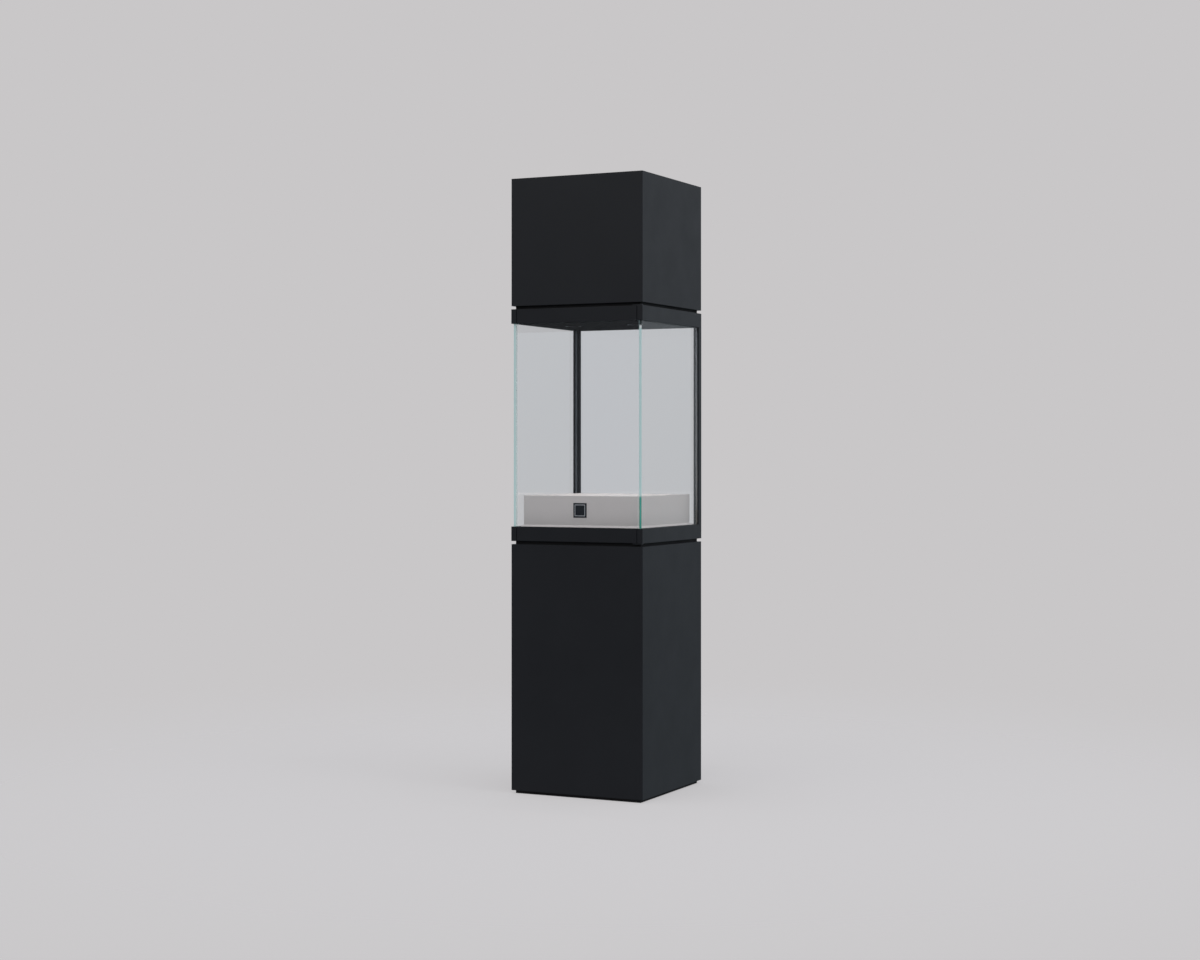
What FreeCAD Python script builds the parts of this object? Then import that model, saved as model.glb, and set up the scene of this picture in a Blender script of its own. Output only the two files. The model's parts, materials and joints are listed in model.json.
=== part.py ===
import FreeCAD, Part
import math
import os
import Sketcher
from FreeCAD import Vector

# Tower display case: a steel pedestal, a glazed chamber with a pivoted front
# glass door and a closed canopy that holds the lighting gear.
# Frame: origin at the centre of the footprint on the floor, +Z up,
# -Y is the glass door (public side), +Y is the service side. Millimetres.

doc = FreeCAD.newDocument("tower_display_case")
sheet = doc.addObject("Spreadsheet::Sheet", "Dims")


class Q:
    """A size: its value now, and the sheet expression that drives it."""

    def __init__(self, v, e):
        self.v = float(v)
        self.e = e

    def __add__(self, o):
        o = q(o)
        return Q(self.v + o.v, "(%s + %s)" % (self.e, o.e))

    def __radd__(self, o):
        return q(o) + self

    def __sub__(self, o):
        o = q(o)
        return Q(self.v - o.v, "(%s - %s)" % (self.e, o.e))

    def __rsub__(self, o):
        return q(o) - self

    def __mul__(self, o):
        o = q(o)
        return Q(self.v * o.v, "(%s * %s)" % (self.e, o.e))

    def __rmul__(self, o):
        return q(o) * self

    def __truediv__(self, o):
        o = q(o)
        return Q(self.v / o.v, "(%s / %s)" % (self.e, o.e))

    def __neg__(self):
        return Q(-self.v, "(0 - %s)" % self.e)


def q(x):
    if isinstance(x, Q):
        return x
    x = float(x)
    return Q(x, "%.6g" % x if x >= 0 else "(0 - %.6g)" % -x)


rows = []


def dim(alias, value):
    n = len(rows) + 2
    rows.append(alias)
    sheet.set("A%d" % n, alias)
    sheet.set("B%d" % n, "%.6g" % value)
    sheet.setAlias("B%d" % n, alias)
    return Q(value, "Dims." + alias)


def bind(obj, prop, value):
    value = q(value)
    if "Dims." in value.e:
        obj.setExpression(prop, value.e)


def place(obj, x, y, z, rot=None):
    x, y, z = q(x), q(y), q(z)
    obj.Placement = FreeCAD.Placement(
        Vector(x.v, y.v, z.v), rot or FreeCAD.Rotation()
    )
    for axis, value in (("x", x), ("y", y), ("z", z)):
        bind(obj, "Placement.Base." + axis, value)


def box(x0, x1, y0, y1, z0, z1):
    o = doc.addObject("Part::Box", "bar")
    for prop, size in (
        ("Length", q(x1) - q(x0)),
        ("Width", q(y1) - q(y0)),
        ("Height", q(z1) - q(z0)),
    ):
        setattr(o, prop, size.v)
        bind(o, prop, size)
    place(o, x0, y0, z0)
    return o


TURN = {
    "z": FreeCAD.Rotation(),
    "x": FreeCAD.Rotation(Vector(0, 1, 0), 90),
    "y": FreeCAD.Rotation(Vector(1, 0, 0), -90),
}


def cyl(x, y, z, r, length, axis="z"):
    """A cylinder that starts at x, y, z and runs along +axis."""
    o = doc.addObject("Part::Cylinder", "rod")
    r, length = q(r), q(length)
    o.Radius, o.Height = r.v, length.v
    bind(o, "Radius", r)
    bind(o, "Height", length)
    place(o, x, y, z, TURN[axis])
    return o


def group(items, label="group"):
    o = doc.addObject("Part::Compound", label)
    o.Links = items
    return o


def fuse(items):
    o = doc.addObject("Part::MultiFuse", "joined")
    o.Shapes = items
    o.Refine = True
    return o


def cut(base, tools):
    o = doc.addObject("Part::Cut", "cut")
    o.Base = base
    o.Tool = tools[0] if len(tools) == 1 else group(tools, "cutters")
    return o


def edges_of(shape, keep):
    found = []
    for i, e in enumerate(shape.Edges):
        a, b = e.Vertexes[0].Point, e.Vertexes[-1].Point
        if keep(a, b):
            found.append(i + 1)
    return found


def eased(base, radius, keep=lambda a, b: True, kind="Part::Fillet"):
    """Rounded (or bevelled) edges on a plain bar."""
    doc.recompute()
    o = doc.addObject(kind, "eased")
    o.Base = base
    o.Edges = [(i, radius, radius) for i in edges_of(base.Shape, keep)]
    return o


def ring(x, y, z, r_out, r_in, length, axis="z"):
    return cut(cyl(x, y, z, r_out, length, axis), [cyl(x, y, z, r_in, length, axis)])


def tube(x0, x1, y0, y1, z0, z1, wall, axis):
    """A rectangular tube, open at both ends."""
    a = dict(x=(x0, x1), y=(y0, y1), z=(z0, z1))
    inner = []
    for k in "xyz":
        lo, hi = a[k]
        inner += [lo, hi] if k == axis else [q(lo) + wall, q(hi) - wall]
    return cut(box(x0, x1, y0, y1, z0, z1), [box(*inner)])


def origin_plane(body, role):
    for f in body.Origin.OriginFeatures:
        if f.Role == role:
            return f


def sketch(body, role, loops, name="Profile"):
    """A fully dimensioned sketch of closed polygons and circles."""
    sk = body.newObject("Sketcher::SketchObject", name)
    sk.AttachmentSupport = [(origin_plane(body, role), "")]
    sk.MapMode = "FlatFace"

    def fix(geo, pos, u, w):
        for kind, axis, value in (("DistanceX", -2, q(u)), ("DistanceY", -1, q(w))):
            if abs(value.v) < 1e-9:
                sk.addConstraint(Sketcher.Constraint("PointOnObject", geo, pos, axis))
                continue
            c = sk.addConstraint(Sketcher.Constraint(kind, -1, 1, geo, pos, value.v))
            if "Dims." in value.e:
                sk.setExpression("Constraints[%d]" % c, value.e)

    for loop in loops:
        if loop[0] == "circle":
            u, w, r = (q(v) for v in loop[1:])
            g = sk.addGeometry(
                Part.Circle(Vector(u.v, w.v, 0), Vector(0, 0, 1), r.v), False
            )
            fix(g, 3, u, w)
            c = sk.addConstraint(Sketcher.Constraint("Radius", g, r.v))
            if "Dims." in r.e:
                sk.setExpression("Constraints[%d]" % c, r.e)
            continue
        n = len(loop)
        pts = [Vector(q(p[0]).v, q(p[1]).v, 0) for p in loop]
        ids = [
            sk.addGeometry(Part.LineSegment(pts[i], pts[(i + 1) % n]), False)
            for i in range(n)
        ]
        for i in range(n):
            sk.addConstraint(
                Sketcher.Constraint("Coincident", ids[i], 2, ids[(i + 1) % n], 1)
            )
        for i, p in enumerate(loop):
            fix(ids[i], 1, p[0], p[1])
    return sk


def rect(u0, u1, w0, w1):
    return [(u0, w0), (u1, w0), (u1, w1), (u0, w1)]


def feature(body, kind, profile, length, name=None, **more):
    f = body.newObject("PartDesign::" + kind, name or kind)
    f.Profile = profile
    length = q(length)
    f.Length = length.v
    bind(f, "Length", length)
    for k, v in more.items():
        setattr(f, k, v)
    profile.Visibility = False
    return f


def body_fillet(body, radius, keep, kind="Fillet", prop="Radius"):
    doc.recompute()
    tip = body.Tip
    f = body.newObject("PartDesign::" + kind, kind)
    f.Base = (tip, ["Edge%d" % i for i in edges_of(tip.Shape, keep)])
    setattr(f, prop, q(radius).v)
    bind(f, prop, radius)
    return f


nodes = {}


def node(name, obj):
    obj.Label = name
    nodes[name] = obj
    return obj


# ---------------------------------------------------------------- dimensions
case_width = dim("case_width", 500)
case_depth = dim("case_depth", 500)
kick_height = dim("kick_height", 11)
kick_inset = dim("kick_inset", 12)
kick_bar = dim("kick_bar", 20)
pedestal_height = dim("pedestal_height", 850)
reveal_height = dim("reveal_height", 11)
reveal_inset = dim("reveal_inset", 12)
band_height = dim("band_height", 50)
glass_height = dim("glass_height", 701)
canopy_height = dim("canopy_height", 440)
skin = dim("skin_thickness", 2)
plate = dim("plate_thickness", 4)
bend = dim("bend_radius", 3)
back_return = dim("back_return", 20)
rail = dim("rail_width", 20)
post_depth = dim("post_depth", 24)
glass = dim("glass_thickness", 8)
glass_inset = dim("glass_inset", 6.5)
groove_play = dim("groove_play", 1)
glass_bite = dim("glass_bite", 12)
door_gap = dim("door_gap", 2)
door_play = dim("door_play", 1)
pivot_in_x = dim("pivot_in_x", 30)
pivot_in_y = dim("pivot_in_y", 5)
pin_radius = dim("pin_radius", 2.5)
run_play = dim("run_play", 0.05)
tube_size = dim("tube_size", 30)
tube_wall = dim("tube_wall", 2)
back_clear = dim("back_clear", 17)
lining = dim("lining_thickness", 3)
deck_front = dim("deck_front", 25)
deck_bar = dim("deck_bar", 30)
riser_width = dim("riser_width", 436)
riser_height = dim("riser_height", 108)
riser_wall = dim("riser_wall", 6)
skirt_out = dim("skirt_out", 8)
skirt_high = dim("skirt_high", 7)
label_size = dim("label_size", 50)
spot_pitch = dim("spot_pitch", 240)
foot_pitch = dim("foot_pitch", 390)
anchor_pitch = dim("anchor_pitch", 300)
anchor_radius = dim("anchor_radius", 6.5)
cable_radius = dim("cable_radius", 15)
drawer_width = dim("drawer_width", 380)
drawer_depth = dim("drawer_depth", 334)
drawer_tall = dim("drawer_tall", 82)
drawer_front_tall = dim("drawer_front_tall", 121)
canopy_post = dim("canopy_post", 25)
lock_travel = dim("lock_travel", 8)
lock_back = dim("lock_back", 10)
doc.recompute()

W, D = case_width / 2, case_depth / 2
z_ped0 = kick_height
z_ped1 = z_ped0 + pedestal_height
z_low0 = z_ped1 + reveal_height
z_low1 = z_low0 + band_height
z_up0 = z_low1 + glass_height
z_up1 = z_up0 + band_height
z_can0 = z_up1 + reveal_height
z_can1 = z_can0 + canopy_height
SX = (-1, 1)


def span(side, a, b):
    """The span from a to b out from the centre plane, on the given side."""
    return (a, b) if side > 0 else (-q(b), -q(a))


# ------------------------------------------------------------- plinth and feet
k_out_x, k_out_y = W - kick_inset, D - kick_inset
k_in_x, k_in_y = k_out_x - kick_bar, k_out_y - kick_bar
node(
    "kick_bars",
    group(
        [
            box(-k_out_x, k_out_x, -k_out_y, -k_in_y, 0, kick_height),
            box(-k_out_x, k_out_x, k_in_y, k_out_y, 0, kick_height),
            box(-k_out_x, -k_in_x, -k_in_y, k_in_y, 0, kick_height),
            box(k_in_x, k_out_x, -k_in_y, k_in_y, 0, kick_height),
        ]
    ),
)

foot_at = foot_pitch / 2
feet_xy = [(sx, sy) for sx in SX for sy in SX]
holes = [
    cyl(sx * foot_at, sy * foot_at, z_ped0, 6.5, plate) for sx, sy in feet_xy
] + [
    cyl(sx * anchor_pitch / 2, sy * anchor_pitch / 2, z_ped0, anchor_radius, plate)
    for sx, sy in feet_xy
]
holes.append(cyl(0, 180, z_ped0, cable_radius, plate))
in_x, in_y = W - skin, D - skin
z_b = z_ped0 + plate  # top of the base plate
# the threaded foot bushes are welded on
node(
    "base_plate",
    fuse(
        [cut(box(-in_x, in_x, -in_y, in_y, z_ped0, z_b), holes)]
        + [ring(sx * foot_at, sy * foot_at, z_b, 12, 6.3, 20) for sx, sy in feet_xy]
    ),
)

# Each levelling foot is a turned pad and spindle; it winds down out of its bush.
for i, (sx, sy) in enumerate(feet_xy):
    b = doc.addObject("PartDesign::Body", "Foot%d" % (i + 1))
    prof = sketch(
        b,
        "XZ_Plane",
        [[(0, 0), (17, 0), (18, 1), (18, 4), (9, 7.5), (6, 7.5), (6, 60), (5, 61.5), (3.5, 61.5), (3.5, 55), (0, 55)]],
    )
    rev = b.newObject("PartDesign::Revolution", "Turned")
    rev.Profile = prof
    rev.ReferenceAxis = (prof, ["V_Axis"])
    rev.Angle = 360
    place(b, sx * foot_at, sy * foot_at, 0)
    node("levelling_foot_%d" % (i + 1), b)

# ------------------------------------------------------------ pedestal structure
back_y = D - back_clear  # rear face of the rear uprights
z_t = z_ped1 - plate  # underside of the top plate
ts = tube_size
upright_y = ((-in_y, -in_y + ts), (back_y - ts, back_y))
# the lamp lead climbs inside the left rear upright, post cover and canopy post
wire_x, wire_y = -W + 22.3, D - 21.5
lead_low, lead_up = z_b + 45, z_can0 + 60


def lead_slot(post, face_x, z):
    return cut(post, [box(face_x - 3, face_x + 1, wire_y - 3, wire_y + 2.4, z - 5, z + 9)])


uprights = [
    tube(*span(s, in_x - ts, in_x), y0, y1, z_b, z_t, tube_wall, "z")
    for s in SX
    for y0, y1 in upright_y
]
uprights[1] = lead_slot(uprights[1], -in_x + ts, lead_low)
ux = in_x - ts
fy = -in_y + ts
by = back_y - ts
mid_z = z_ped0 + 691
node(
    "pedestal_frame",
    group(
        uprights
        + [
            tube(-ux, ux, -in_y, fy, z_b, z_b + ts, tube_wall, "x"),
            tube(-ux, ux, -in_y, fy, z_t - ts, z_t, tube_wall, "x"),
            tube(-ux, ux, by, back_y, mid_z, mid_z + ts, tube_wall, "x"),
            tube(-ux, ux, by, back_y, z_t - ts, z_t, tube_wall, "x"),
            tube(-in_x, -ux, fy, by, z_b, z_b + ts, tube_wall, "y"),
            tube(ux, in_x, fy, by, z_b, z_b + ts, tube_wall, "y"),
            tube(-in_x, -ux, fy, by, z_t - ts, z_t, tube_wall, "y"),
            tube(ux, in_x, fy, by, z_t - ts, z_t, tube_wall, "y"),
        ]
    ),
)

# Bolts that tie the pedestal to the glazed chamber, and the chamber to the canopy.
bar_mid = W - rail - deck_bar + 9
front_mid = -D + deck_front + 19
bolt_xy = [(sx * bar_mid, sy * q(120)) for sx in SX for sy in SX]
bolt_xy += [(sx * q(120), front_mid) for sx in SX]


def bolt_holes(z, length, r):
    return [cyl(x, y, z, r, length) for x, y in bolt_xy]


node(
    "pedestal_top_plate",
    cut(
        box(-in_x, in_x, -in_y, in_y, z_t, z_ped1),
        bolt_holes(z_t, plate, 3.3) + [cyl(wire_x, wire_y, z_t, 2.2, plate)],
    ),
)


def folded_shell(name, z0, height):
    """Front and both sides in one folded sheet, with a return at each rear edge."""
    b = doc.addObject("PartDesign::Body", "Shell")
    r_in = W - back_return
    prof = sketch(
        b,
        "XY_Plane",
        [
            [
                (-W, -D),
                (W, -D),
                (W, D),
                (r_in, D),
                (r_in, D - skin),
                (W - skin, D - skin),
                (W - skin, -D + skin),
                (-W + skin, -D + skin),
                (-W + skin, D - skin),
                (-r_in, D - skin),
                (-r_in, D),
                (-W, D),
            ]
        ],
    )
    feature(b, "Pad", prof, height)

    def outer(p, r):
        return abs(p.x - r.x) < 1e-6 and abs(p.y - r.y) < 1e-6

    body_fillet(
        b,
        bend,
        lambda a, c: outer(a, c)
        and abs(abs(a.x) - W.v) < 1e-6
        and abs(abs(a.y) - D.v) < 1e-6,
    )
    place(b, 0, 0, z0)
    return node(name, b)


folded_shell("pedestal_shell", z_ped0, pedestal_height)


# -------------------------------------------------- rear doors (pedestal, canopy)
px, py = -W + pivot_in_x, D - pivot_in_y  # rear door pivot axis
door_x = W - back_return - door_gap
door_deep = q(12)
cam_x = W - 38


def rear_door(name, z0, z1, lock_z, slots):
    """A folded pan with vent slots, pivot holes and a hole for the cam lock."""
    b = doc.addObject("PartDesign::Body", "Door")
    tall = q(z1) - q(z0)
    lz = q(lock_z) - q(z0)
    prof = sketch(b, "XZ_Plane", [rect(-door_x, door_x, 0, tall)])
    feature(b, "Pad", prof, door_deep)
    body_fillet(b, 0.8, lambda a, c: abs(a.y) < 1e-6 and abs(c.y) < 1e-6)
    # the pan is open towards the inside of the case
    hollow = sketch(
        b,
        "XZ_Plane",
        [rect(-door_x + skin, door_x - skin, skin, tall - skin)],
        "Hollow",
    )
    hollow.AttachmentOffset = FreeCAD.Placement(
        Vector(0, 0, door_deep.v), FreeCAD.Rotation()
    )
    feature(b, "Pocket", hollow, door_deep - skin, "Inside")
    vents = sketch(
        b,
        "XZ_Plane",
        [rect(-90, 90, z - 2, z + 2) for z in slots]
        + [["circle", cam_x, lz, 8.08]],
        "Vents",
    )
    vents.AttachmentOffset = FreeCAD.Placement(
        Vector(0, 0, door_deep.v), FreeCAD.Rotation()
    )
    feature(b, "Pocket", vents, door_deep + 1, "Openings")
    flange = sketch(b, "YZ_Plane", [rect(-13, -2, lz - 30, lz + 10)], "CamGap")
    flange.AttachmentOffset = FreeCAD.Placement(
        Vector(0, 0, door_x.v + 1), FreeCAD.Rotation()
    )
    feature(b, "Pocket", flange, 6, "CamSlot")
    pins = sketch(
        b, "XY_Plane", [["circle", px, -pivot_in_y, pin_radius + run_play]], "PinHoles"
    )
    pins.AttachmentOffset = FreeCAD.Placement(
        Vector(0, 0, tall.v + 1), FreeCAD.Rotation()
    )
    feature(b, "Pocket", pins, tall + 2, "Pins")
    place(b, 0, D, z0)
    return node(name, b)


def rear_pivots(z_floor, z0, z1, z_roof, y_from):
    """Bottom and top pivot brackets with their pins and a thrust washer."""
    low = fuse(
        [
            box(px - 8, px + 8, py - 8, py + 3, z_floor, z_floor + 2),
            cyl(px, py, z_floor + 2, pin_radius, 9),
        ]
    )
    high = fuse(
        [
            box(px - 8, px + 8, y_from, py + 3, q(z1) + 0.6, z_roof),
            cyl(px, py, q(z1) - 9, pin_radius, 9.6),
        ]
    )
    washer = ring(px, py, z_floor + 2, 4.6, pin_radius + 0.1, 0.7)
    return [low, high, washer]


def cam_lock(name, lock_z):
    """Barrel, key slot and cam; it hangs down when unlocked."""
    barrel = cut(
        cyl(cam_x, D - 10, lock_z, 8, 9.8, "y"),
        [box(cam_x - 0.8, cam_x + 0.8, D - 2.2, D, lock_z - 4, lock_z + 4)],
    )
    cam = eased(
        box(cam_x - 6, cam_x + 6, D - 7, D - 4, lock_z - 28, lock_z + 7),
        4,
        lambda a, c: abs(a.x - c.x) < 1e-6 and abs(a.z - c.z) < 1e-6,
    )
    return node(name, fuse([barrel, cam]))


sd0, sd1 = z_b + 3, mid_z + 26
rear_door("service_door", sd0, sd1, z_ped0 + 370, [60 + 12 * i for i in range(6)] + [600 + 12 * i for i in range(6)])
rear_pins = rear_pivots(z_b, sd0, sd1, sd1 + 3, back_y)
cam_lock("service_cam", z_ped0 + 370)

# ---------------------------------------------------------------- climate drawer
dz0 = mid_z + ts + 6
dx = drawer_width / 2
dy1 = D - 16
dy0 = dy1 - drawer_depth
node(
    "drawer_box",
    cut(
        box(-dx, dx, dy0, dy1, dz0, dz0 + drawer_tall),
        [box(-dx + 1.5, dx - 1.5, dy0 + 1.5, dy1 - 1.5, dz0 + 1.5, dz0 + drawer_tall + 1)],
    ),
)
fz0 = sd1 + 5
panel = eased(
    box(-door_x, door_x, D - skin, D, fz0, fz0 + drawer_front_tall),
    0.8,
    lambda a, c: abs(a.y - D.v) < 1e-6 and abs(c.y - D.v) < 1e-6,
)
pull_z = dz0 + 44
front = fuse(
    [cut(panel, [box(-55, 55, D - skin - 1, D + 1, pull_z, pull_z + 28)])]
    + [box(*span(s, 150, 170), dy1, D - skin, dz0 + 6, dz0 + 76) for s in SX]
)
node("drawer_front", front)
node(
    "drawer_pull",
    cut(
        box(-55, 55, D - 13, D - 0.3, pull_z, pull_z + 28),
        [box(-53.5, 53.5, D - 11.5, D + 1, pull_z + 1.5, pull_z + 26.5)],
    ),
)
sz0 = dz0 + 30
node(
    "drawer_slides",
    group(
        [
            cut(
                box(*span(s, dx, dx + 9), dy0, dy1 - 4, sz0, sz0 + 26),
                [box(*span(s, dx + 5, dx + 9), dy0, dy1 - 4, sz0 + 9, sz0 + 17)],
            )
            for s in SX
        ]
    ),
)
run_x = dx + 9.5
node(
    "drawer_runners",
    group(
        [
            fuse(
                [
                    box(*span(s, run_x + 8, run_x + 12.5), dy0 - 8, back_y, sz0 - 3, sz0 + 29),
                    box(*span(s, run_x - 3.5, run_x + 8), dy0 - 8, back_y, sz0 + 10, sz0 + 16),
                    box(*span(s, run_x + 12.5, ux), by, back_y, sz0 - 3, sz0 + 29),
                    box(*span(s, run_x + 12.5, ux), dy0 - 8, dy0 + 22, sz0 - 3, z_t - 8),
                ]
            )
            for s in SX
        ]
    ),
)
node(
    "gel_cassette",
    eased(
        box(-165, 165, dy0 + 20, dy1 - 60, dz0 + 1.5, dz0 + 42),
        4,
        lambda a, c: abs(a.x - c.x) < 1e-6 and abs(a.y - c.y) < 1e-6,
    ),
)

# ------------------------------------------------------------------ power inlet
ix, iy = q(125), q(200)
inlet = cut(
    eased(box(ix - 25, ix + 25, iy - 35, iy, z_b, z_b + 52), 1.5),
    [
        box(ix - 12, ix + 12, iy - 14, iy + 1, z_b + 8, z_b + 26),
        box(ix - 8.3, ix + 8.3, iy - 7, iy + 1, z_b + 33.5, z_b + 46.5),
        cyl(ix - 11, iy - 2, z_b + 40, 1.05, 22, "x"),
    ],
)
blades = [
    box(ix - 1 + k, ix + 1 + k, iy - 14, iy - 4, z_b + 15, z_b + 20) for k in (-6, 0, 6)
]
node("power_inlet", fuse([inlet] + blades))
rocker = fuse(
    [
        box(ix - 7.8, ix + 7.8, iy - 3.6, iy + 0.6, z_b + 34.8, z_b + 45.2),
        cyl(ix - 10, iy - 2, z_b + 40, 1.0, 20, "x"),
    ]
)
node("main_switch", rocker)

# ---------------------------------------------------------------- lower reveal
rx, ry = W - reveal_inset, D - reveal_inset
fpx, fpy = W - pivot_in_x, -D + pivot_in_y  # front door pivot axis


def reveal(z0, pocket_z):
    return cut(
        box(-rx, rx, -ry, ry, z0, z0 + reveal_height),
        bolt_holes(z0, reveal_height, 3.3)
        + [
            cyl(wire_x, wire_y, z0, 2.2, reveal_height),
            box(fpx - 8, rx, -ry, -ry + 26, pocket_z, pocket_z + 3),
        ],
    )


node("reveal_plates", group([reveal(z_ped1, z_low0 - 3), reveal(z_up1, z_up1)]))


def front_pivot(z_plate, z_pin, length):
    return fuse(
        [
            box(fpx - 8, W - 3, -D + 1, -ry, z_plate, z_plate + 3),
            box(fpx - 8, rx, -ry, -ry + 26, z_plate, z_plate + 3),
            cyl(fpx, fpy, z_pin, pin_radius, length),
        ]
    )


node(
    "pivot_plates",
    group(
        [
            front_pivot(z_low0 - 3, z_low0 - 3, 19),
            front_pivot(z_up1, z_up1 - 16, 19),
            ring(fpx, fpy, z_low0, 4.6, pin_radius + 0.1, 0.7),
        ]
    ),
)


# --------------------------------------------------------- deck, ceiling frames
dk_y0, dk_y1 = -D + deck_front, D - post_depth
dk_x = W - rail
bar_in = dk_x - deck_bar


def inner_frame(z0, z1, bolt_z):
    bars = []
    for s in SX:
        bars.append(
            cut(
                tube(*span(s, bar_in, dk_x), dk_y0, dk_y1, z0, z1, 3, "y"),
                [cyl(s * bar_mid, sy * q(120), bolt_z, 3.05, 5) for sy in SX],
            )
        )
    bars.append(
        cut(
            tube(-bar_in, bar_in, dk_y0, dk_y0 + deck_bar, z0, z1, 3, "x"),
            [cyl(sx * q(120), front_mid, bolt_z, 3.05, 5) for sx in SX],
        )
    )
    bars.append(tube(-bar_in, bar_in, dk_y1 - deck_bar, dk_y1, z0, z1, 3, "x"))
    return bars


node(
    "inner_frames",
    group(
        inner_frame(z_low0, z_low1 - lining, z_low0 - 1)
        + inner_frame(z_up0 + lining, z_up1, z_up1 - 4)
    ),
)
node(
    "deck_panel",
    cut(
        box(-dk_x, dk_x, dk_y0, dk_y1, z_low1 - lining, z_low1),
        [box(-120, 120, y, y + 12, z_low1 - lining, z_low1) for y in (-80, -30, 20, 70)],
    ),
)


def bolts(z_head, z_shank, length):
    return [
        fuse([cyl(x, y, z_head, 5, 6), cyl(x, y, z_shank, 3, length)])
        for x, y in bolt_xy
    ]


node(
    "frame_bolts",
    group(
        bolts(z_t - 6, z_t - 1, plate + reveal_height + 9)
        + bolts(z_can0 + plate, z_up1 - 8, reveal_height + plate + 9)
    ),
)

# ----------------------------------------------------- glazed chamber: the frame
g_out = W - glass_inset
g_in = g_out - glass
gr_out, gr_in = g_out + groove_play, g_in - groove_play
gy_out, gy_in = D - glass_inset, D - glass_inset - glass
gry_out, gry_in = gy_out + groove_play, gy_in - groove_play
post_y = D - post_depth
lock_y = -D + lock_back
lock_low, lock_up = z_low0 + 25, z_up0 + 27
EASE = 0.7


def side_rail(s, z0, z1, groove_z0, lock_z=None):
    tools = [
        box(*span(s, gr_in, gr_out), -gry_out, post_y + 6, groove_z0, groove_z0 + glass_bite),
        box(*span(s, W - rail, W - rail + 6), gry_in, gry_out, groove_z0, groove_z0 + glass_bite),
    ]
    if lock_z is not None:
        tools.append(cyl(-W - 1, lock_y, lock_z, 9, 11, "x"))
        tools.append(cyl(-W + 10, lock_y, lock_z, 4.08, rail, "x"))
    bar = eased(box(*span(s, W - rail, W), -D, D, z0, z1), EASE)
    return cut(bar, tools)


low_groove = z_low1 - glass_bite
node(
    "side_rails_lower",
    group(
        [
            side_rail(-1, z_low0, z_low1, low_groove, lock_low),
            side_rail(1, z_low0, z_low1, low_groove),
        ]
    ),
)
node(
    "side_rails_upper",
    group(
        [
            side_rail(-1, z_up0, z_up1, z_up0, lock_up),
            side_rail(1, z_up0, z_up1, z_up0),
        ]
    ),
)

posts = []
for s in SX:
    post = eased(
        box(*span(s, W - rail, W), post_y, D, z_low1, z_up0),
        EASE,
        lambda a, c: abs(a.z - c.z) > 1,
    )
    posts.append(
        cut(
            post,
            [
                box(*span(s, gr_in, gr_out), post_y - 1, post_y + 6, z_low1, z_up0),
                box(*span(s, W - rail - 1, W - rail + 6), gry_in, gry_out, z_low1, z_up0),
            ],
        ),
    )
node("rear_posts", group(posts))
rear_rails = []
for z0, z1, gz in ((z_low0, z_low1, low_groove), (z_up0, z_up1, z_up0)):
    bar = eased(box(-W + rail, W - rail, post_y, D, z0, z1), EASE)
    rear_rails.append(
        cut(
            bar,
            [
                box(-W + rail, W - rail, gry_in, gry_out, gz, gz + glass_bite),
                cyl(wire_x, wire_y, z0, 2.2, band_height),
            ],
        )
    )
node("rear_rails", group(rear_rails))

# Panes: 8 mm toughened glass with ground and polished edges.
gz0, gz1 = z_low1 - glass_bite, z_up0 + glass_bite
side_panes = []
for s in SX:
    pane = box(*span(s, g_in, g_out), -gy_out, post_y + 5, gz0 + 0.5, gz1 - 0.5)
    side_panes.append(eased(pane, 0.6, kind="Part::Chamfer"))
node("side_glass", group(side_panes))
node(
    "rear_glass",
    eased(
        box(-W + rail - 5, W - rail + 5, gy_in, gy_out, gz0 + 0.5, gz1 - 0.5),
        0.6,
        kind="Part::Chamfer",
    ),
)


def strips(x_spans, y_spans, bottom=True, top=True):
    out = []
    for x0, x1 in x_spans:
        for y0, y1 in y_spans:
            out.append(box(x0, x1, y0, y1, gz0 + 1, z_low1 + 0.4))
            out.append(box(x0, x1, y0, y1, z_up0 - 0.4, gz1 - 1))
    return out


gaskets = []
for s in SX:
    gaskets += strips([span(s, gr_in, g_in), span(s, g_out, gr_out)], [(-gry_out + 1, post_y)])
gaskets += strips([(-W + rail + 8, W - rail - 0.5)], [(gry_in, gy_in), (gy_out, gry_out)])
node("glazing_gaskets", group(gaskets))

# ------------------------------------------------------------------- front door
fx = W - rail - door_gap
fy0, fy1 = -D, -D + rail


def door_rail(z0, z1, gz, bush_z, lock_z):
    bar = eased(box(-fx, fx, fy0, fy1, z0, z1), EASE)
    return cut(
        bar,
        [
            box(-fx, fx, -gry_out, -gry_in, gz, gz + glass_bite),
            cyl(fpx, fpy, bush_z, 4, 16),
            cyl(-fx - 1, lock_y, lock_z, 6, 13, "x"),
        ],
    )


dl0, du1 = z_low0 + door_play, z_up1 - door_play
node(
    "door_rails",
    group(
        [
            door_rail(dl0, z_low1, z_low1 - glass_bite, dl0, lock_low),
            door_rail(z_up0, du1, z_up0, du1 - 16, lock_up),
        ]
    ),
)

pane = doc.addObject("PartDesign::Body", "DoorPane")
edge_x = g_in - 1.5  # the vertical edges stop 1.5 mm short of the side panes
nx = fx - 0.5
prof = sketch(
    pane,
    "XZ_Plane",
    [
        [
            (-nx, gz0 + 0.5),
            (nx, gz0 + 0.5),
            (nx, z_low1 + 1),
            (edge_x, z_low1 + 1),
            (edge_x, z_up0 - 1),
            (nx, z_up0 - 1),
            (nx, gz1 - 0.5),
            (-nx, gz1 - 0.5),
            (-nx, z_up0 - 1),
            (-edge_x, z_up0 - 1),
            (-edge_x, z_low1 + 1),
            (-nx, z_low1 + 1),
        ]
    ],
)
feature(pane, "Pad", prof, glass)
body_fillet(
    pane,
    0.6,
    lambda a, c: abs(abs(a.x) - edge_x.v) < 1e-6
    and abs(a.x - c.x) < 1e-6
    and abs(a.z - c.z) > 10,
    "Chamfer",
    "Size",
)
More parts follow.
